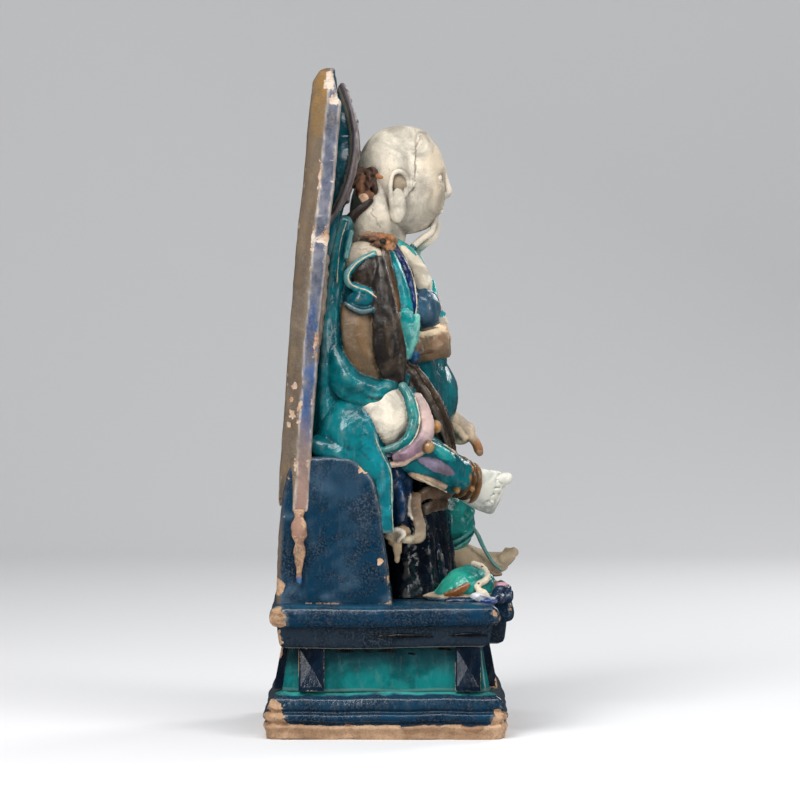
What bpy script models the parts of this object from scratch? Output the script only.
"""Seated robed figure of glazed stoneware on a throne and a moulded pedestal, fired in one piece."""

import math

import bmesh
import bpy
from mathutils import Matrix, Vector

# Sizes in metres, with +Z up, the figure facing -Y and the origin under the middle of the base
BASE_WIDTH = 0.225
BASE_DEPTH = 0.190
FOOT_HEIGHT = 0.0135
BASE_HEIGHT = 0.0375
CORNER_RADIUS = 0.005
WAIST_HEIGHT = 0.0335
WAIST_WIDTH = 0.184
WAIST_DEPTH = 0.150
WAIST_SPREAD = 0.0065
POST_WIDTH = 0.020
POST_SET_IN = 0.0045
POST_PROUD = 0.0055
PLATFORM_WIDTH = 0.224
PLATFORM_DEPTH = 0.178
PLATFORM_HEIGHT = 0.034
TONGUE_WIDTH = 0.150
TONGUE_REACH = 0.011
SEAT_WIDTH = 0.192
SEAT_DEPTH = 0.091
SEAT_HEIGHT = 0.113
SEAT_BACK = 0.085
SCREEN_OVERHANG = 0.0025
SCREEN_HEIGHT = 0.302
SCREEN_THICKNESS = 0.0203
SCREEN_LEAN = 0.028
SCREEN_BACK = 0.0798
PENDANT_LENGTH = 0.058
PENDANT_RADIUS = 0.0062
PENDANT_FORWARD = 0.067
NIMBUS_HALF_WIDTH = 0.056
NIMBUS_HEIGHT = 0.103
HEAD_HEIGHT = 0.088
HEAD_WIDTH = 0.060
HEAD_LENGTH = 0.070
SHOULDER_HEIGHT = 0.142
SHOULDER_HALF_WIDTH = 0.060
FOREARM_RADIUS = 0.0125
FOOT_WIDTH = 0.034
SHELL_LENGTH = 0.054
SHELL_WIDTH = 0.050
SHELL_HEIGHT = 0.029
SNAKE_RADIUS = 0.0042

# How fine the clay's surface is faceted
MOST_TRIANGLES = 11600

# Levels that follow from the sizes
WAIST_TOP = BASE_HEIGHT + WAIST_HEIGHT
PLATFORM_TOP = WAIST_TOP + PLATFORM_HEIGHT
SEAT_TOP = PLATFORM_TOP + SEAT_HEIGHT
SEAT_FRONT = SEAT_BACK - SEAT_DEPTH
SCREEN_WIDTH = SEAT_WIDTH + 2 * SCREEN_OVERHANG
ROBE_INSET = 0.016
ROBE_EDGE = SEAT_WIDTH / 2 - ROBE_INSET
HEAD_CENTRE = Vector((0, -0.0125, SHOULDER_HEIGHT + 0.072))

forms = []


def clear_scene():
    """Remove what the scene holds."""
    for thing in list(bpy.data.objects):
        bpy.data.objects.remove(thing, do_unlink=True)


def glaze(name, colour, roughness):
    """A fired surface with one colour."""
    material = bpy.data.materials.new(name)
    material.use_nodes = True
    shader = material.node_tree.nodes["Principled BSDF"]
    shader.inputs["Base Color"].default_value = (*colour, 1)
    shader.inputs["Roughness"].default_value = roughness
    shader.inputs["Metallic"].default_value = 0
    material.diffuse_color = (*colour, 1)
    return material


def keep(name, bm, material, mirrored=False):
    """Turn a closed shape into one of the forms that the clay is built up from."""
    bmesh.ops.triangulate(bm, faces=bm.faces)
    bmesh.ops.recalc_face_normals(bm, faces=bm.faces)
    mesh = bpy.data.meshes.new(name)
    bm.to_mesh(mesh)
    mesh.materials.append(material)
    thing = bpy.data.objects.new(name, mesh)
    forms.append(thing)
    if mirrored:
        bmesh.ops.scale(bm, vec=(-1, 1, 1), verts=bm.verts)
        bmesh.ops.reverse_faces(bm, faces=bm.faces)
        other = bpy.data.meshes.new(name + "_far")
        bm.to_mesh(other)
        other.materials.append(material)
        forms.append(bpy.data.objects.new(name + "_far", other))
    bm.free()
    return thing


def loft(rings):
    """Skin a row of rings that have as many points each, and close both ends."""
    bm = bmesh.new()
    rows = [[bm.verts.new(p) for p in ring] for ring in rings]
    count = len(rows[0])
    for low, high in zip(rows, rows[1:]):
        for i in range(count):
            j = (i + 1) % count
            bm.faces.new((low[i], low[j], high[j], high[i]))
    for row in (rows[0], rows[-1]):
        middle = bm.verts.new(sum((v.co for v in row), Vector()) / count)
        for i in range(count):
            bm.faces.new((row[i], row[(i + 1) % count], middle))
    return bm


def spline(points, steps):
    """Points on a smooth curve through the given ones, with their extra values blended alike."""
    if steps < 2:
        return [tuple(p) for p in points]
    out = []
    for i in range(len(points) - 1):
        a = points[max(i - 1, 0)]
        b = points[i]
        c = points[i + 1]
        d = points[min(i + 2, len(points) - 1)]
        for k in range(steps):
            t = k / steps
            out.append(tuple(
                0.5 * (2 * q + (r - p) * t + (2 * p - 5 * q + 4 * r - s) * t * t
                       + (3 * q - p - 3 * r + s) * t * t * t)
                for p, q, r, s in zip(a, b, c, d)))
    out.append(tuple(points[-1]))
    return out


def limb(points, sides=10, steps=2, across=(1, 0, 0), base=SEAT_TOP, lobes=0, depth=0.0, ends=0.55):
    """A rolled or draped form along a curve.

    Each point is x, y, height above the base level, half width along the across direction, half thickness.
    Lobes cut pleats along it, and both ends are drawn in to a rounded cap.
    """
    path = spline(points, steps)
    spots = [Vector(p[:3]) + Vector((0, 0, base)) for p in path]
    rings = []
    for i, p in enumerate(path):
        along = (spots[min(i + 1, len(spots) - 1)] - spots[max(i - 1, 0)]).normalized()
        lateral = Vector(across)
        lateral = (lateral - along * lateral.dot(along)).normalized()
        normal = along.cross(lateral)
        ring = []
        for k in range(sides):
            turn = 2 * math.pi * k / sides
            pleat = 1 + depth * math.cos(lobes * turn)
            ring.append(spots[i] + lateral * p[3] * pleat * math.cos(turn)
                        + normal * p[4] * pleat * math.sin(turn))
        rings.append((spots[i], along, min(p[3], p[4]), ring))
    first, last = rings[0], rings[-1]
    out = [r[3] for r in rings]
    for sign, (spot, along, reach, ring), at_end in ((-1, first, False), (1, last, True)):
        drawn = [spot + (p - spot) * 0.62 + along * sign * reach * ends for p in ring]
        if at_end:
            out.append(drawn)
        else:
            out.insert(0, drawn)
    return loft(out)


def lump(centre, radii, turn=(0, 0, 0), base=SEAT_TOP, across=12, up=8):
    """A modelled pad of clay: an ellipsoid with its own turn, in degrees."""
    bm = bmesh.new()
    bmesh.ops.create_uvsphere(bm, u_segments=across, v_segments=up, radius=1)
    place = Matrix.Translation(Vector(centre) + Vector((0, 0, base)))
    for axis, angle in zip("ZYX", reversed(turn)):
        place = place @ Matrix.Rotation(math.radians(angle), 4, axis)
    bmesh.ops.transform(bm, matrix=place @ Matrix.Diagonal((*radii, 1)), verts=bm.verts)
    return bm


def slab_ring(half_x, half_y, middle_y, z, radius, arc=3):
    """A rounded rectangle seen from above."""
    points = []
    radius = min(radius, half_x * 0.9, half_y * 0.9)
    for quarter, (sx, sy) in enumerate(((1, 1), (-1, 1), (-1, -1), (1, -1))):
        for k in range(arc):
            turn = math.pi / 2 * (quarter + k / (arc - 1))
            points.append(Vector((sx * (half_x - radius) + radius * math.cos(turn),
                                  middle_y + sy * (half_y - radius) + radius * math.sin(turn), z)))
    return points


def moulding(width, depth, middle_y, profile, radius):
    """Run a profile of (set in, height) pairs round a rounded rectangle."""
    return loft([slab_ring(width / 2 - inset, depth / 2 - inset, middle_y, z,
                           max(radius - inset / 2, 0.0015))
                 for inset, z in profile])


# Pedestal

def pedestal_base(glazes):
    """The moulded base: a bare foot band, two rolls, a cavetto and a sloping ledge."""
    step = (BASE_HEIGHT - FOOT_HEIGHT) / 8
    top = FOOT_HEIGHT
    profile = [(0.0035, 0), (0.0028, FOOT_HEIGHT * 0.45), (0.0005, FOOT_HEIGHT * 0.72),
               (0, FOOT_HEIGHT * 0.86), (0.0032, top), (0.0008, top + step * 0.7),
               (0, top + step * 1.5), (0.0012, top + step * 2.2), (0.0046, top + step * 2.7),
               (0.0038, top + step * 3.4), (0.0050, top + step * 4.6), (0.0085, top + step * 6.4),
               (0.0105, top + step * 6.9), (0.0170, BASE_HEIGHT), (0.0190, BASE_HEIGHT + 0.003)]
    keep("base", moulding(BASE_WIDTH, BASE_DEPTH, 0, profile, CORNER_RADIUS), glazes["blue"])


def waist_block(glazes):
    """The waist: a block that spreads a little towards its foot."""
    low = BASE_HEIGHT - 0.002
    high = WAIST_TOP + 0.002
    rings = [slab_ring(WAIST_WIDTH / 2 + s, WAIST_DEPTH / 2 + s, 0, z, 0.003)
             for s, z in ((WAIST_SPREAD, low), (WAIST_SPREAD * 0.4, (low + high) / 2), (0, high))]
    keep("waist", loft(rings), glazes["turquoise"])


def waist_post(glazes, x, y, turn):
    """A squared post against the waist, its outer face cut into four facets that meet in a sunk middle."""
    half = POST_WIDTH / 2
    height = WAIST_HEIGHT + 0.002
    bm = bmesh.new()
    bmesh.ops.create_cube(bm, size=1)
    deep = POST_PROUD + 0.008
    bmesh.ops.scale(bm, vec=(deep, POST_WIDTH, height), verts=bm.verts)
    outer = [f for f in bm.faces if f.normal.x > 0.9]
    bmesh.ops.inset_region(bm, faces=outer, thickness=half * 0.16)
    bmesh.ops.poke(bm, faces=outer, offset=-half * 0.42)
    middle = POST_PROUD - deep / 2 + WAIST_SPREAD * 0.4
    lean = math.atan(WAIST_SPREAD / WAIST_HEIGHT)
    bmesh.ops.rotate(bm, cent=(0, 0, 0), matrix=Matrix.Rotation(-lean, 3, "Y"), verts=bm.verts)
    bmesh.ops.translate(bm, vec=(middle, 0, 0), verts=bm.verts)
    bmesh.ops.rotate(bm, cent=(0, 0, 0), matrix=Matrix.Rotation(turn, 3, "Z"), verts=bm.verts)
    bmesh.ops.translate(bm, vec=(x, y, BASE_HEIGHT + WAIST_HEIGHT / 2), verts=bm.verts)
    keep("post", bm, glazes["blue"])


def waist_posts(glazes):
    """Two posts on each side of the waist."""
    inner_x = WAIST_WIDTH / 2 - POST_SET_IN - POST_WIDTH / 2
    inner_y = WAIST_DEPTH / 2 - POST_SET_IN - POST_WIDTH / 2
    for a in (-1, 1):
        waist_post(glazes, WAIST_WIDTH / 2, a * inner_y, 0)
        waist_post(glazes, -WAIST_WIDTH / 2, a * inner_y, math.pi)
        waist_post(glazes, a * inner_x, WAIST_DEPTH / 2, math.pi / 2)
        waist_post(glazes, a * inner_x, -WAIST_DEPTH / 2, -math.pi / 2)


def platform(glazes):
    """The platform: a slate fascia under a rounded edge, with a section that steps out in front."""
    h = PLATFORM_HEIGHT
    z = WAIST_TOP
    profile = [(0.0120, z - 0.001), (0.0085, z + h * 0.03), (0.0072, z + h * 0.12),
               (0.0066, z + h * 0.42), (0.0060, z + h * 0.47), (0.0010, z + h * 0.52),
               (0, z + h * 0.64), (0.0004, z + h * 0.76), (0.0034, z + h * 0.92),
               (0.0070, z + h * 0.99), (0.0140, z + h)]
    keep("platform", moulding(PLATFORM_WIDTH, PLATFORM_DEPTH, 0.001, profile, CORNER_RADIUS),
         glazes["blue"])
    reach = PLATFORM_DEPTH / 2 + TONGUE_REACH
    raised = [(inset, level + 0.0004) for inset, level in profile]
    keep("tongue", moulding(TONGUE_WIDTH, reach, -reach / 2, raised, CORNER_RADIUS), glazes["blue"])


# Throne

def throne_block(glazes):
    """The throne's block, with its front edge rolled over and its sides slightly dished."""
    h = SEAT_HEIGHT
    d = SEAT_DEPTH
    outline = [(0, -0.003), (0.003, h * 0.62), (0.009, h * 0.93), (0.014, h - 0.002), (d * 0.59, h),
               (d * 0.76, h * 0.945), (d * 0.87, h * 0.80), (d * 0.93, h * 0.50), (d, -0.003)]
    half = SEAT_WIDTH / 2
    rings = []
    for x, draw in ((-half, 0.0028), (-half + 0.003, 0), (half - 0.003, 0), (half, 0.0028)):
        ring = []
        for back, up in outline:
            y = SEAT_BACK - min(max(back, draw), d - draw)
            ring.append(Vector((x, y, PLATFORM_TOP + min(up, h - draw) if up > 0 else PLATFORM_TOP + up)))
        rings.append(ring)
    keep("throne", loft(rings), glazes["blue"])


def screen_half_width(t):
    """Half the screen's width at a share of its height: straight sides, tight shoulders, a low peak."""
    half = SCREEN_WIDTH / 2
    over = max(t - 0.972, 0) / 0.028
    return half * (0.985 + 0.015 * math.cos(math.pi * min(t, 0.972)) - 0.56 * over ** 12)


def screen(glazes):
    """The back screen: a thick slab that leans forwards, bevelled behind, framed round a sunk panel."""
    rings = []
    shares = [0, 0.12, 0.3, 0.5, 0.7, 0.86, 0.93, 0.965, 0.980, 0.990, 0.996, 1.0]
    for t in shares:
        z = SEAT_TOP - 0.045 + t * (SCREEN_HEIGHT + 0.045)
        back = SCREEN_BACK - SCREEN_LEAN * t ** 1.25
        front = back - SCREEN_THICKNESS
        half = screen_half_width(t)
        bevel = min(0.011, half * 0.4)
        rise = min(0.010, half * 0.3)
        sunk = 0.004 if 0.12 < t < 0.94 else 0.001
        drop = 0.010 * max(t - 0.93, 0) / 0.07
        profile = [(half, front + 0.0025, 0), (half, front + SCREEN_THICKNESS * 0.58, 0),
                   (half - rise, back, drop), (half * 0.3, back + 0.004, drop),
                   (-half * 0.3, back + 0.004, drop), (-half + rise, back, drop),
                   (-half, front + SCREEN_THICKNESS * 0.58, 0), (-half, front + 0.0025, 0),
                   (-half + 0.0025, front, 0), (-half + bevel, front, 0),
                   (-half + bevel + 0.003, front + sunk, 0), (half - bevel - 0.003, front + sunk, 0),
                   (half - bevel, front, 0), (half - 0.0025, front, 0)]
        rings.append([Vector((x, y, z - down)) for x, y, down in profile])
    keep("screen", loft(rings), glazes["brown"])


def pendant(glazes, side):
    """A turned pendant under the screen's edge strip, spun from its profile."""
    r = PENDANT_RADIUS
    length = PENDANT_LENGTH
    profile = [(0.0, 0.0), (0.62, 0.0), (0.66, 0.05), (0.45, 0.09), (0.86, 0.17), (1.0, 0.27),
               (0.88, 0.38), (0.52, 0.46), (0.72, 0.54), (0.70, 0.64), (0.42, 0.72), (0.34, 0.82),
               (0.20, 0.87), (0.40, 0.93), (0.30, 0.985), (0.0, 1.0)]
    bm = bmesh.new()
    x = side * (SEAT_WIDTH / 2 + r * 0.55)
    top = SEAT_TOP - 0.041
    chain = [bm.verts.new((x + a * r, PENDANT_FORWARD, top - b * length)) for a, b in profile]
    edges = [bm.edges.new(pair) for pair in zip(chain, chain[1:])]
    bmesh.ops.spin(bm, geom=chain + edges, cent=(x, PENDANT_FORWARD, 0), axis=(0, 0, 1),
                   angle=2 * math.pi, steps=10, use_merge=True)
    bmesh.ops.remove_doubles(bm, verts=bm.verts, dist=0.00001)
    keep("pendant", bm, glazes["clay"])
    strap = [(x * 0.985, PENDANT_FORWARD - 0.004, 0.0, 0.004, 0.010),
             (x * 0.985, PENDANT_FORWARD - 0.001, -0.02, 0.004, 0.008),
             (x * 0.985, PENDANT_FORWARD, -0.044, 0.004, 0.006)]
    keep("strap", limb(strap, 8, 1), glazes["clay"])


def nimbus(glazes):
    """The cloud-edged rim round the head, against the screen: it stands out most beside the head."""
    w = NIMBUS_HALF_WIDTH
    h = NIMBUS_HEIGHT
    low = 0.184
    path = []
    steps = 30

    def forward(z):
        return 0.021 + 0.012 * ((z - low - h * 0.55) / (h * 0.44)) ** 2

    for k in range(steps + 1):
        turn = math.pi * k / steps
        puff = 1 + 0.13 * abs(math.sin(turn * 4.5))
        z = low + h * math.sin(turn) ** 0.8 * (0.86 + 0.07 * puff)
        path.append((-w * math.cos(turn) * puff, forward(z) + 0.0095, z, 0.0095 * puff, 0.012))
    keep("nimbus", limb(path, 6, 1, across=(0, 1, 0.001)), glazes["mauve"])
    for k in range(8):
        turn = math.pi * (k + 0.5) / 8
        z = low + h * math.sin(turn) ** 0.8 * 0.93
        spot = (-w * math.cos(turn) * 1.04, forward(z) + 0.0015, z)
        keep("cloud_curl", lump(spot, (0.0065, 0.0050, 0.0065), across=8, up=5), glazes["mauve"])
    for side in (-1, 1):
        curl = [(side * (w + 0.002), 0.045, low - 0.020, 0.006, 0.007),
                (side * (w + 0.001), 0.042, low - 0.006, 0.008, 0.008),
                (side * w, 0.040, low + 0.006, 0.009, 0.009)]
        keep("nimbus_foot", limb(curl, 8, 1), glazes["mauve"])


# Figure

def torso(glazes):
    """The robed body from the seat to the neck."""
    s = SHOULDER_HALF_WIDTH
    h = SHOULDER_HEIGHT
    rows = [(0, 0.004, -0.020, s * 1.20, 0.048), (0, 0.000, 0.015, s * 1.22, 0.048),
            (0, -0.003, 0.045, s * 1.12, 0.048), (0, -0.001, h * 0.56, s * 1.03, 0.043),
            (0, 0.001, h * 0.82, s, 0.039), (0, 0.005, h * 0.97, s * 0.92, 0.033),
            (0, 0.008, h * 1.08, s * 0.70, 0.026), (0, 0.006, h * 1.17, s * 0.40, 0.020),
            (0, 0.002, h * 1.30, 0.019, 0.018)]
    keep("torso", limb(rows, 24, 1, ends=0.1), glazes["turquoise"])
    keep("belly", lump((0.016, -0.020, 0.042), (0.050, 0.036, 0.038), across=16, up=10),
         glazes["turquoise"])


def sleeves(glazes):
    """Both upper arms and the near forearm, which ends in a break."""
    s = SHOULDER_HALF_WIDTH
    h = SHOULDER_HEIGHT
    near = [(-s * 0.72, 0.010, h, 0.018, 0.018), (-s - 0.001, 0.016, h * 0.86, 0.014, 0.019),
            (-s - 0.004, 0.018, h * 0.62, 0.011, 0.020), (-s - 0.002, 0.014, h * 0.42, 0.010, 0.019)]
    keep("near_sleeve", limb(near, 12, 2, lobes=4, depth=0.05), glazes["turquoise"])
    fold = [(-s + 0.004, 0.040, h * 0.63, 0.010, 0.008), (-s - 0.008, 0.034, h * 0.47, 0.013, 0.013),
            (-s - 0.013, 0.018, h * 0.36, 0.014, 0.015), (-s - 0.008, -0.002, h * 0.36, 0.013, 0.013),
            (-s + 0.006, -0.014, h * 0.46, 0.011, 0.011)]
    keep("elbow_fold", limb(fold, 14, 2, lobes=5, depth=0.09), glazes["turquoise"])
    back = [(-s + 0.012, 0.034, h * 1.24, 0.012, 0.008), (-s + 0.004, 0.041, h * 0.95, 0.015, 0.010),
            (-s + 0.001, 0.044, h * 0.60, 0.016, 0.011), (-s - 0.001, 0.043, h * 0.22, 0.016, 0.012)]
    keep("back_robe", limb(back, 12, 2, lobes=4, depth=0.07), glazes["turquoise"], mirrored=True)
    fore = [(-s + 0.002, 0.000, 0.0810, FOREARM_RADIUS, FOREARM_RADIUS),
            (-s + 0.008, -0.022, 0.0855, FOREARM_RADIUS, FOREARM_RADIUS),
            (-s + 0.014, -0.0475, 0.0875, FOREARM_RADIUS * 0.98, FOREARM_RADIUS * 0.98)]
    keep("near_forearm", limb(fore, 12, 2, ends=0.02), glazes["brown"])
    far = [(s * 0.72, 0.008, h, 0.018, 0.020), (s + 0.006, 0.004, h * 0.80, 0.018, 0.021),
           (s + 0.008, -0.006, h * 0.52, 0.018, 0.022), (s - 0.002, -0.026, h * 0.34, 0.019, 0.022),
           (s - 0.012, -0.040, h * 0.20, 0.018, 0.018)]
    keep("far_sleeve", limb(far, 12, 2, lobes=3, depth=0.05), glazes["turquoise"])


def far_hand(glazes):
    """The far hand, palm down over the knee, with its fingers together."""
    palm = [(0.045, -0.044, 0.026, 0.011, 0.009), (0.041, -0.056, 0.020, 0.013, 0.008),
            (0.038, -0.066, 0.011, 0.013, 0.007)]
    keep("palm", limb(palm, 10, 2), glazes["biscuit"])
    for k in range(4):
        x = 0.029 + 0.0062 * k
        reach = 0.0015 * (1 - abs(k - 1.2))
        finger = [(x, -0.064, 0.013, 0.0035, 0.0040), (x - 0.001, -0.071, 0.006, 0.0034, 0.0038),
                  (x - 0.001, -0.0745 - reach, -0.003 - reach, 0.0030, 0.0034)]
        keep("finger", limb(finger, 6, 1), glazes["biscuit"])
    thumb = [(0.031, -0.050, 0.022, 0.0036, 0.0040), (0.025, -0.060, 0.014, 0.0036, 0.0038),
             (0.023, -0.067, 0.006, 0.003, 0.003)]
    keep("thumb", limb(thumb, 6, 1), glazes["biscuit"])


def sleeve_mouth(glazes):
    """The short outer sleeve: its thin rolled edge, its mouth, a puff below and the cloth that hangs."""
    s = SHOULDER_HALF_WIDTH
    h = SHOULDER_HEIGHT
    for side in (-1, 1):
        edge = [(side * (s + 0.008), 0.0100, h * 1.10, 0.0024, 0.0024),
                (side * (s + 0.012), 0.0200, h * 1.07, 0.0026, 0.0026),
                (side * (s + 0.015), 0.0275, h * 1.01, 0.0028, 0.0028),
                (side * (s + 0.016), 0.0265, h * 0.935, 0.0028, 0.0028),
                (side * (s + 0.015), 0.0160, h * 0.895, 0.0028, 0.0028),
                (side * (s + 0.012), 0.0050, h * 0.845, 0.0026, 0.0026)]
        keep("sleeve_edge", limb(edge, 6, 2, across=(1, 0, 0)), glazes["biscuit"])
        mouth = lump((side * (s + 0.007), 0.0155, h), (0.0070, 0.0125, 0.0165), across=10, up=7)
        keep("sleeve_mouth", mouth, glazes["dark"])
        keep("sleeve_puff", lump((side * (s + 0.006), 0.018, h * 0.82), (0.013, 0.018, 0.013)),
             glazes["turquoise"])
        hang = [(side * (s + 0.010), 0.022, h * 0.79, 0.007, 0.014),
                (side * (s + 0.015), 0.023, h * 0.67, 0.007, 0.014),
                (side * (s + 0.016), 0.022, h * 0.53, 0.006, 0.011),
                (side * (s + 0.012), 0.020, h * 0.45, 0.004, 0.005)]
        keep("sleeve_hang", limb(hang, 14, 1, lobes=5, depth=0.09), glazes["brown"])


def sashes(glazes):
    """Long bands over the shoulders, and the pleated sash across the lap."""
    s = SHOULDER_HALF_WIDTH
    h = SHOULDER_HEIGHT
    front = [(-s + 0.004, 0.004, h + 0.010, 0.004, 0.005), (-s - 0.010, 0.000, h * 0.90, 0.005, 0.006),
             (-s - 0.012, -0.005, h * 0.68, 0.006, 0.007), (-s - 0.008, -0.009, h * 0.52, 0.006, 0.008),
             (-s + 0.002, -0.008, h * 0.36, 0.005, 0.006)]
    keep("long_sash", limb(front, 8, 2), glazes["dark"])
    second = [(-s * 0.70, -0.002, h * 1.10, 0.005, 0.004), (-s * 0.86, -0.006, h * 0.94, 0.005, 0.005),
              (-s * 0.88, -0.008, h * 0.76, 0.005, 0.005)]
    keep("short_sash", limb(second, 8, 1), glazes["dark"])
    lapel = [(-0.024, -0.008, h * 1.13, 0.008, 0.005), (-0.034, -0.020, h * 1.03, 0.008, 0.005),
             (-0.039, -0.026, h * 0.90, 0.008, 0.005), (-0.042, -0.027, h * 0.76, 0.007, 0.005),
             (-0.044, -0.023, h * 0.66, 0.005, 0.004)]
    keep("lapel", limb(lapel, 8, 1), glazes["blue"], mirrored=True)
    inner = [(-0.016, -0.012, h * 1.11, 0.007, 0.005), (-0.024, -0.024, h * 1.02, 0.008, 0.004),
             (-0.020, -0.031, h * 0.92, 0.010, 0.004), (-0.012, -0.034, h * 0.86, 0.009, 0.004)]
    keep("collar_fold", limb(inner, 8, 1), glazes["biscuit"], mirrored=True)
    lap = [(-0.046, -0.020, 0.066, 0.012, 0.010), (-0.040, -0.032, 0.044, 0.014, 0.012),
           (-0.032, -0.044, 0.020, 0.014, 0.012), (-0.026, -0.046, -0.002, 0.013, 0.011)]
    keep("lap_sash", limb(lap, 16, 2, lobes=6, depth=0.07), glazes["dark"])


def chest(glazes):
    """Two rounded plates on the chest, the broken knot between them and the leaf-shaped cuff folds."""
    keep("chest_plate", lump((-0.021, -0.027, 0.110), (0.020, 0.014, 0.020), (0, 0, 12)), glazes["blue"],
         mirrored=True)
    keep("knot_stub", lump((-0.004, -0.041, 0.105), (0.007, 0.006, 0.005), (20, 10, 0), across=8, up=5),
         glazes["biscuit"])
    keep("knot_chip", lump((-0.007, -0.043, 0.096), (0.004, 0.005, 0.004), across=6, up=5),
         glazes["biscuit"])
    leaf = [(-0.055, -0.012, 0.110, 0.010, 0.006), (-0.058, -0.018, 0.099, 0.009, 0.012),
            (-0.059, -0.018, 0.087, 0.006, 0.009), (-0.058, -0.016, 0.077, 0.003, 0.003)]
    keep("cuff_leaf", limb(leaf, 10, 1, lobes=4, depth=0.10), glazes["turquoise"])
    keep("cuff_inner", lump((-0.050, -0.022, 0.083), (0.009, 0.009, 0.008), across=10, up=6),
         glazes["blue"])


def near_leg(glazes):
    """The near leg, its knee out to the side and its bare foot in front with the toes up."""
    keep("near_hip", lump((-0.056, 0.026, 0.010), (0.038, 0.034, 0.040), (0, -14, 0), across=14, up=9),
         glazes["turquoise"])
    for k in range(3):
        t = k / 2
        swag = [(-0.050 - 0.010 * t, 0.046 - 0.006 * t, 0.040 - 0.012 * t, 0.005, 0.005),
                (-0.078, 0.030 - 0.004 * t, 0.026 - 0.012 * t, 0.005, 0.006),
                (-0.086, 0.008, 0.014 - 0.010 * t, 0.004, 0.005)]
        keep("hip_fold", limb(swag, 7, 2), glazes["turquoise"])
    thigh = [(-0.040, 0.030, 0.014, 0.026, 0.028), (-0.062, 0.010, 0.020, 0.026, 0.028),
             (-0.070, -0.008, 0.020, 0.025, 0.027)]
    keep("near_thigh", limb(thigh, 14, 2, across=(0, 0, 1)), glazes["turquoise"])
    keep("near_knee", lump((-0.068, -0.004, 0.024), (0.026, 0.023, 0.029), across=14, up=9),
         glazes["biscuit"])
    band, pad = [], []
    for k in range(13):
        turn = math.radians(72 - 182 * k / 12)
        ahead, up = math.cos(turn), math.sin(turn)
        band.append((-0.0835, -0.0017 - 0.0215 * ahead, 0.025 + 0.0275 * up, 0.0045, 0.0036))
        pad.append((-0.0770, -0.0017 - 0.0290 * ahead, 0.023 + 0.0325 * up, 0.0060, 0.0050))
    keep("knee_band", limb(band, 7, 1), glazes["turquoise"])
    keep("knee_pad", limb(pad, 8, 1), glazes["mauve"])
    keep("knee", lump((-0.066, -0.022, 0.014), (0.018, 0.018, 0.026), (10, 0, 0), across=12, up=8),
         glazes["mauve"])
    for spot in ((-0.066, -0.041, 0.022), (-0.074, -0.036, 0.006)):
        keep("stud", lump(spot, (0.0050, 0.0050, 0.0052), across=8, up=5), glazes["brown"])
    shin = [(-0.070, -0.018, 0.002, 0.020, 0.020), (-0.060, -0.036, -0.007, 0.018, 0.017),
            (-0.046, -0.053, -0.017, 0.015, 0.015)]
    keep("near_shin", limb(shin, 12, 2, across=(0, 0, 1)), glazes["turquoise"])
    for k in range(3):
        t = k / 2
        x, y, z = -0.041 + 0.012 * t, -0.056 - 0.013 * t, -0.0195 - 0.008 * t
        r = 0.0165 - 0.0010 * t
        cuff = [(x - 0.002, y + 0.0025, z + 0.0015, r, r * 0.9),
                (x + 0.002, y - 0.0025, z - 0.0015, r, r * 0.9)]
        keep("ankle_cuff", limb(cuff, 12, 1, across=(0, 0, 1), ends=0.12), glazes["brown"])


def near_foot(glazes):
    """The near foot: its instep faces out, and its toes stand in a slanting row, the big one on top."""
    half = FOOT_WIDTH / 2
    slant = (0, -0.566, 0.824)
    foot = [(-0.031, -0.064, -0.0255, half * 0.80, 0.0105),
            (-0.027, -0.073, -0.0285, half * 0.94, 0.0100),
            (-0.0215, -0.0810, -0.0310, half * 1.02, 0.0085),
            (-0.018, -0.0855, -0.0325, half * 0.98, 0.0065)]
    keep("near_foot", limb(foot, 12, 2, across=slant), glazes["biscuit"])
    for k in range(5):
        t = k / 4
        size = 0.0056 - 0.0018 * min(t * 2.5, 1)
        y, z = -0.0955 + 0.0165 * t, -0.0205 - 0.0245 * t
        toe = [(-0.0190, y + 0.0070, z - 0.0025, size, size), (-0.0185, y, z, size, size)]
        keep("near_toe", limb(toe, 7, 1, across=(0, 0, 1)), glazes["biscuit"])


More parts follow.
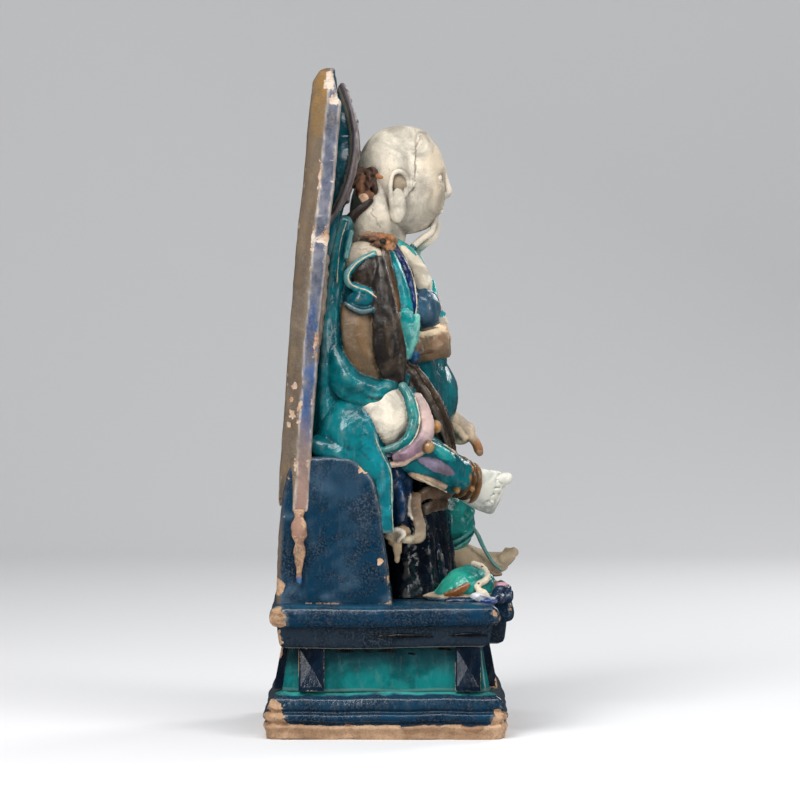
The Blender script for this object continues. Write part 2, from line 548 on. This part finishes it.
def far_leg(glazes):
    """The far leg: knee forwards, trouser hem, bare calf and foot with its tip up."""
    keep("far_hip", lump((0.056, 0.024, 0.008), (0.036, 0.032, 0.032), (0, 14, 0), across=14, up=9),
         glazes["turquoise"])
    thigh = [(0.044, 0.026, 0.010, 0.027, 0.026), (0.056, 0.000, 0.014, 0.027, 0.027),
             (0.052, -0.024, 0.006, 0.024, 0.026)]
    keep("far_thigh", limb(thigh, 14, 2), glazes["turquoise"])
    shin = [(0.048, -0.030, 0.000, 0.024, 0.024), (0.034, -0.040, -0.030, 0.022, 0.023),
            (0.016, -0.047, -0.054, 0.021, 0.022), (0.012, -0.050, -0.070, 0.0185, 0.018)]
    keep("far_trouser", limb(shin, 14, 2, lobes=5, depth=0.04), glazes["turquoise"])
    hem = []
    for k in range(15):
        turn = math.radians(360 * k / 14)
        hem.append((0.012 - 0.0185 * math.cos(turn), -0.050 + 0.0190 * math.sin(turn),
                    -0.070 - 0.005 * math.sin(turn), 0.0026, 0.0030))
    keep("trouser_hem", limb(hem, 6, 1, across=(0, 0, 1)), glazes["turquoise"])
    calf = [(0.014, -0.044, -0.078, 0.012, 0.012), (0.017, -0.062, -0.087, 0.011, 0.011),
            (0.019, -0.078, -0.092, 0.011, 0.010)]
    keep("far_calf", limb(calf, 10, 2), glazes["biscuit"])
    half = FOOT_WIDTH / 2
    foot = [(0.018, -0.076, -0.092, half * 0.62, 0.010), (0.020, -0.088, -0.090, half * 0.72, 0.009),
            (0.022, -0.096, -0.088, half * 0.78, 0.007)]
    keep("far_foot", limb(foot, 10, 2), glazes["biscuit"])
    for k in range(5):
        t = k / 4
        size = 0.0042 - 0.0016 * min(t * 3, 1)
        x = 0.0215 + half * (-0.55 + 1.15 * t)
        toe = [(x, -0.095, -0.087, size, size), (x, -0.1015 + 0.005 * t, -0.083, size, size)]
        keep("far_toe", limb(toe, 6, 1), glazes["biscuit"])
    tie = [(0.004, -0.068, -0.064, 0.0032, 0.0026), (0.006, -0.077, -0.077, 0.004, 0.003),
           (0.008, -0.085, -0.088, 0.004, 0.004)]
    keep("foot_tie", limb(tie, 6, 1), glazes["turquoise"])


def front_drapery(glazes):
    """The pleated cloth between the legs down to the platform, and the robe's edges over the seat."""
    low = PLATFORM_TOP - SEAT_TOP - 0.002
    fall = [(0, -0.014, 0.004, 0.064, 0.030), (0, -0.019, low * 0.3, 0.060, 0.031),
            (-0.002, -0.021, low * 0.65, 0.058, 0.032),
            (-0.002, -0.021, low, 0.062, 0.034)]
    keep("front_fall", limb(fall, 44, 1, lobes=11, depth=0.045, ends=0), glazes["blue"])
    for side in (-1, 1):
        x = side * ROBE_EDGE
        edge = [(x * 0.90, 0.046, 0.010, 0.018, 0.012), (x * 0.97, 0.022, 0.006, 0.016, 0.014),
                (x * 0.99, 0.004, -0.010, 0.014, 0.011), (x, -0.003, -0.034, 0.0125, 0.0068),
                (x * 1.01, -0.0065, -0.060, 0.010, 0.0050)]
        keep("robe_edge", limb(edge, 14, 2, lobes=4, depth=0.07), glazes["turquoise"])
        lobe = [(x * 0.74, -0.004, -0.006, 0.020, 0.018), (x * 0.75, -0.007, -0.034, 0.019, 0.015),
                (x * 0.75, -0.008, -0.058, 0.012, 0.010)]
        keep("robe_lobe", limb(lobe, 16, 2, lobes=5, depth=0.08), glazes["blue"])


def ribbon_knot(glazes):
    """The ribbon tied below the knee, with a loop, a tail and a tassel."""
    loop = [(-0.042, -0.044, -0.036, 0.005, 0.004), (-0.050, -0.036, -0.030, 0.005, 0.004),
            (-0.058, -0.026, -0.034, 0.005, 0.004), (-0.060, -0.024, -0.048, 0.005, 0.004),
            (-0.058, -0.032, -0.058, 0.005, 0.004), (-0.054, -0.036, -0.070, 0.004, 0.004)]
    keep("ribbon_loop", limb(loop, 7, 2), glazes["dark"])
    keep("ribbon_knot", lump((-0.064, -0.018, -0.060), (0.009, 0.011, 0.008), across=10, up=6),
         glazes["biscuit"])
    tassel = [(-0.066, -0.012, -0.062, 0.004, 0.005), (-0.068, -0.011, -0.076, 0.004, 0.005),
              (-0.068, -0.011, -0.090, 0.003, 0.004)]
    keep("tassel", limb(tassel, 7, 1), glazes["biscuit"])


# Head

def on_head(x, y, z):
    """A place on the head, in shares of its half width, half length and half height."""
    return (x * HEAD_WIDTH / 2, HEAD_CENTRE.y + y * HEAD_LENGTH / 2, HEAD_CENTRE.z + z * HEAD_HEIGHT / 2)


def skull(glazes):
    """Skull, jaw and hair cap."""
    w, l, h = HEAD_WIDTH / 2, HEAD_LENGTH / 2, HEAD_HEIGHT / 2
    keep("skull", lump(on_head(0, 0.02, 0.10), (w * 0.95, l * 0.96, h * 0.88), across=20, up=14),
         glazes["biscuit"])
    keep("jaw", lump(on_head(0, -0.40, -0.44), (w * 0.72, l * 0.56, h * 0.55), across=14, up=10),
         glazes["biscuit"])
    keep("hair_cap", lump(on_head(0, 0.13, 0.17), (w * 1.02, l * 0.93, h * 0.88), across=20, up=14),
         glazes["biscuit"])
    keep("neck",
         limb([(0, 0.004, HEAD_CENTRE.z - h * 1.3, 0.020, 0.018),
               (0, 0.000, HEAD_CENTRE.z - h * 0.6, 0.019, 0.018)], 14, 1),
         glazes["biscuit"])


def face(glazes):
    """A calm, evenly divided face: brow, closed lids, a straight nose and a level mouth."""
    nose = [(*on_head(0, -0.90, 0.18), 0.0030, 0.0022), (*on_head(0, -0.95, 0.00), 0.0034, 0.0028),
            (*on_head(0, -1.01, -0.19), 0.0050, 0.0034), (*on_head(0, -0.96, -0.27), 0.0048, 0.0024)]
    keep("nose", limb(nose, 8, 2), glazes["biscuit"])
    lid = lump(on_head(-0.42, -0.80, 0.02), (0.0072, 0.0044, 0.0042), (0, 0, 18), across=10, up=8)
    keep("lid", lid, glazes["biscuit"], mirrored=True)
    brow = [(*on_head(-0.14, -0.93, 0.20), 0.0022, 0.0024),
            (*on_head(-0.42, -0.86, 0.27), 0.0022, 0.0024),
            (*on_head(-0.70, -0.66, 0.20), 0.0018, 0.0018)]
    keep("brow", limb(brow, 6, 2, across=(0, 0, 1)), glazes["biscuit"], mirrored=True)
    for z, r in ((-0.455, 0.0021), (-0.525, 0.0025)):
        lip = [(*on_head(-0.26, -0.84, z + 0.01), 0.0010, 0.0014), (*on_head(0, -0.955, z), r, r),
               (*on_head(0.26, -0.84, z + 0.01), 0.0010, 0.0014)]
        keep("lip", limb(lip, 6, 2, across=(0, 0, 1)), glazes["biscuit"])
    keep("chin", lump(on_head(0, -0.80, -0.80), (0.0085, 0.0065, 0.0075), across=10, up=6),
         glazes["biscuit"])
    cheek = lump(on_head(-0.50, -0.56, -0.22), (0.0100, 0.0110, 0.0125), across=10, up=8)
    keep("cheek", cheek, glazes["biscuit"], mirrored=True)


def ears(glazes):
    """Long-lobed ears, each a curved rim round a hollow."""
    rim = []
    for k in range(10):
        turn = math.radians(-30 + 260 * k / 9)
        rim.append((*on_head(-1.04 - 0.05 * math.sin(turn), 0.07 + 0.20 * math.cos(turn),
                             0.05 + 0.26 * math.sin(turn)),
                    0.0026, 0.0024))
    keep("ear_rim", limb(rim, 6, 1), glazes["biscuit"], mirrored=True)
    lobe = [(*on_head(-0.99, -0.06, -0.06), 0.0030, 0.0036),
            (*on_head(-1.03, 0.06, -0.32), 0.0034, 0.0062),
            (*on_head(-1.03, 0.06, -0.56), 0.0030, 0.0050)]
    keep("ear_lobe", limb(lobe, 8, 2), glazes["biscuit"], mirrored=True)
    keep("ear_bowl", lump(on_head(-0.94, 0.06, 0.02), (0.0026, 0.0062, 0.0110), across=8, up=6),
         glazes["biscuit"], mirrored=True)


def hair(glazes):
    """The broken hair knot, the lock behind the ear, the hair to the shoulders and the beard's strand."""
    keep("knot_break", lump((-0.0255, 0.0180, 0.2120), (0.011, 0.008, 0.013), (15, 0, 0), across=8, up=6),
         glazes["dark"])
    keep("knot_shard", lump((-0.0300, 0.0105, 0.2060), (0.007, 0.005, 0.011), (-12, 0, 0), across=7, up=5),
         glazes["dark"])
    keep("knot_tip", lump((-0.0350, 0.0155, 0.2010), (0.004, 0.004, 0.004), across=7, up=5),
         glazes["biscuit"])
    lock = [(-0.0290, 0.0110, 0.2030, 0.004, 0.004), (-0.0360, 0.0195, 0.1985, 0.0042, 0.0042),
            (-0.0400, 0.0280, 0.1925, 0.0042, 0.0042), (-0.0420, 0.0335, 0.1845, 0.004, 0.004),
            (-0.0420, 0.0355, 0.1760, 0.0036, 0.0036)]
    keep("lock", limb(lock, 7, 2), glazes["dark"], mirrored=True)
    fall = [(*on_head(-0.55, 0.62, -0.10), 0.013, 0.014), (*on_head(-0.90, 0.66, -0.62), 0.014, 0.017),
            (*on_head(-1.30, 0.66, -1.10), 0.014, 0.019), (*on_head(-1.55, 0.60, -1.52), 0.011, 0.016)]
    keep("hair_fall", limb(fall, 16, 2, lobes=6, depth=0.07), glazes["biscuit"], mirrored=True)
    keep("nape", lump(on_head(0, 0.86, -0.70), (0.026, 0.014, 0.034), across=12, up=8), glazes["biscuit"])
    keep("shoulder_break", lump((-0.048, 0.004, SHOULDER_HEIGHT * 1.145), (0.008, 0.009, 0.008),
                                (0, 20, 0), across=7, up=5), glazes["brown"])
    beard = [(*on_head(0, -0.78, -0.84), 0.0052, 0.0040),
             (*on_head(-0.08, -0.62, -1.06), 0.0045, 0.0036),
             (*on_head(-0.16, -0.40, -1.28), 0.0040, 0.0034),
             (*on_head(-0.18, -0.42, -1.48), 0.0036, 0.0034),
             (*on_head(-0.14, -0.60, -1.64), 0.0034, 0.0036)]
    keep("beard", limb(beard, 8, 2), glazes["turquoise"])


# Tortoise and snake

def tortoise(glazes):
    """The tortoise at the platform's front corner: domed shell with a rim, legs and head."""
    l, w, h = SHELL_LENGTH / 2, SHELL_WIDTH / 2, SHELL_HEIGHT
    x, y = -0.066, -0.062
    deck = PLATFORM_TOP
    keep("shell", lump((x, y, h * 0.22), (w * 0.92, l * 0.95, h * 0.80), base=deck, across=12, up=8),
         glazes["turquoise"])
    keep("shell_rim", lump((x, y, h * 0.10), (w, l * 1.04, h * 0.30), base=deck, across=14, up=6),
         glazes["biscuit"])
    leg = [(x - w * 0.5, y + l * 0.25, h * 0.30, 0.008, 0.007),
           (x - w * 0.95, y + l * 0.05, h * 0.42, 0.008, 0.007),
           (x - w * 0.98, y - l * 0.30, h * 0.22, 0.006, 0.005)]
    keep("tortoise_leg", limb(leg, 8, 2, base=deck), glazes["brown"])
    for k in range(3):
        claw = [(x - w * 0.86, y - l * (0.05 + 0.26 * k), h * 0.10, 0.006, 0.005),
                (x - w * 0.98, y - l * (0.20 + 0.30 * k), h * 0.05, 0.005, 0.004)]
        keep("claw", limb(claw, 7, 1, base=deck), glazes["blue"])
    head = [(x + w * 0.2, y - l * 0.8, h * 0.30, 0.008, 0.007),
            (x + w * 0.3, y - l * 1.15, h * 0.42, 0.007, 0.006),
            (x + w * 0.2, y - l * 1.38, h * 0.36, 0.005, 0.004)]
    keep("tortoise_head", limb(head, 8, 2, base=deck), glazes["brown"])


def snake(glazes):
    """The snake wound over the shell."""
    r = SNAKE_RADIUS
    h = SHELL_HEIGHT
    path = [(-0.040, -0.050, h * 0.80, r, r), (-0.054, -0.056, h * 1.02, r, r),
            (-0.068, -0.062, h * 1.04, r, r), (-0.080, -0.070, h * 0.88, r, r),
            (-0.086, -0.079, h * 0.66, r, r), (-0.088, -0.072, h * 0.46, r, r * 0.9),
            (-0.088, -0.074, h * 0.26, r, r * 0.9), (-0.088, -0.080, h * 0.10, r, r * 0.9)]
    keep("snake", limb(path, 7, 3, base=PLATFORM_TOP), glazes["biscuit"])


def wave_rock(glazes):
    """The small rock or wave at the platform's front edge."""
    keep("wave", lump((-0.056, -0.089, 0.006), (0.013, 0.009, 0.011), base=PLATFORM_TOP, across=9, up=6),
         glazes["blue"])
    keep("wave_low", lump((-0.036, -0.090, 0.003), (0.016, 0.008, 0.008), base=PLATFORM_TOP, across=9,
                          up=5), glazes["blue"])


def drop_bubbles(mesh):
    """Merge stray points and fill what the forms enclose, leaving the one outer skin."""
    bm = bmesh.new()
    bm.from_mesh(mesh)
    bmesh.ops.remove_doubles(bm, verts=bm.verts, dist=0.00005)
    bmesh.ops.dissolve_degenerate(bm, edges=bm.edges, dist=0.00005)
    bmesh.ops.triangulate(bm, faces=bm.faces)
    left = set(bm.faces)
    shells = []
    while left:
        shell = [left.pop()]
        for face in shell:
            for edge in face.edges:
                for other in edge.link_faces:
                    if other in left:
                        left.remove(other)
                        shell.append(other)
        shells.append(shell)
    shells.sort(key=len)
    for shell in shells[:-1]:
        bmesh.ops.delete(bm, geom=shell, context="FACES")
    bm.to_mesh(mesh)
    bm.free()


def close_pinches(mesh):
    """Draw together the very short edges where more than two faces meet."""
    bm = bmesh.new()
    bm.from_mesh(mesh)
    for _ in range(6):
        pinched = [e for e in bm.edges if not e.is_manifold]
        if not pinched:
            break
        bmesh.ops.collapse(bm, edges=pinched)
        bmesh.ops.dissolve_degenerate(bm, edges=bm.edges, dist=0.00002)
        bmesh.ops.triangulate(bm, faces=bm.faces)
    bm.to_mesh(mesh)
    bm.free()


def fuse(name):
    """Lute all forms into the one fired body."""
    scene = bpy.context.scene.collection
    body = forms[0]
    scene.objects.link(body)
    operands = bpy.data.collections.new("forms")
    scene.children.link(operands)
    for form in forms[1:]:
        operands.objects.link(form)
        form.hide_render = True
        form.display_type = "WIRE"
    union = body.modifiers.new("union", "BOOLEAN")
    union.operation = "UNION"
    union.solver = "EXACT"
    union.use_self = True
    union.operand_type = "COLLECTION"
    union.collection = operands
    union.material_mode = "TRANSFER"
    graph = bpy.context.evaluated_depsgraph_get()
    mesh = bpy.data.meshes.new_from_object(body.evaluated_get(graph))
    for form in forms:
        bpy.data.objects.remove(form, do_unlink=True)
    bpy.data.collections.remove(operands)
    drop_bubbles(mesh)
    piece = bpy.data.objects.new(name, mesh)
    scene.objects.link(piece)
    thin = piece.modifiers.new("thin", "DECIMATE")
    thin.ratio = min(1.0, MOST_TRIANGLES / len(mesh.polygons))
    graph = bpy.context.evaluated_depsgraph_get()
    mesh = bpy.data.meshes.new_from_object(piece.evaluated_get(graph))
    close_pinches(mesh)
    piece.modifiers.clear()
    piece.data = mesh
    mesh.shade_smooth()
    mesh.set_sharp_from_angle(angle=math.radians(38))
    return piece


def build():
    """Model the figure from the base up."""
    clear_scene()
    glazes = {
        "blue": glaze("cobalt_glaze", (0.012, 0.045, 0.11), 0.22),
        "turquoise": glaze("turquoise_glaze", (0.01, 0.26, 0.22), 0.22),
        "biscuit": glaze("cream_biscuit", (0.70, 0.60, 0.42), 0.6),
        "brown": glaze("bare_brown_clay", (0.16, 0.11, 0.07), 0.7),
        "dark": glaze("dark_brown_glaze", (0.03, 0.018, 0.012), 0.35),
        "mauve": glaze("mauve_glaze", (0.20, 0.14, 0.22), 0.4),
        "clay": glaze("pink_clay", (0.50, 0.32, 0.24), 0.7)}
    pedestal_base(glazes)
    waist_block(glazes)
    waist_posts(glazes)
    platform(glazes)
    throne_block(glazes)
    screen(glazes)
    for side in (-1, 1):
        pendant(glazes, side)
    nimbus(glazes)
    torso(glazes)
    sleeves(glazes)
    far_hand(glazes)
    sleeve_mouth(glazes)
    sashes(glazes)
    chest(glazes)
    near_leg(glazes)
    near_foot(glazes)
    far_leg(glazes)
    front_drapery(glazes)
    ribbon_knot(glazes)
    skull(glazes)
    face(glazes)
    ears(glazes)
    hair(glazes)
    tortoise(glazes)
    snake(glazes)
    wave_rock(glazes)
    fuse("seated_figure")


build()
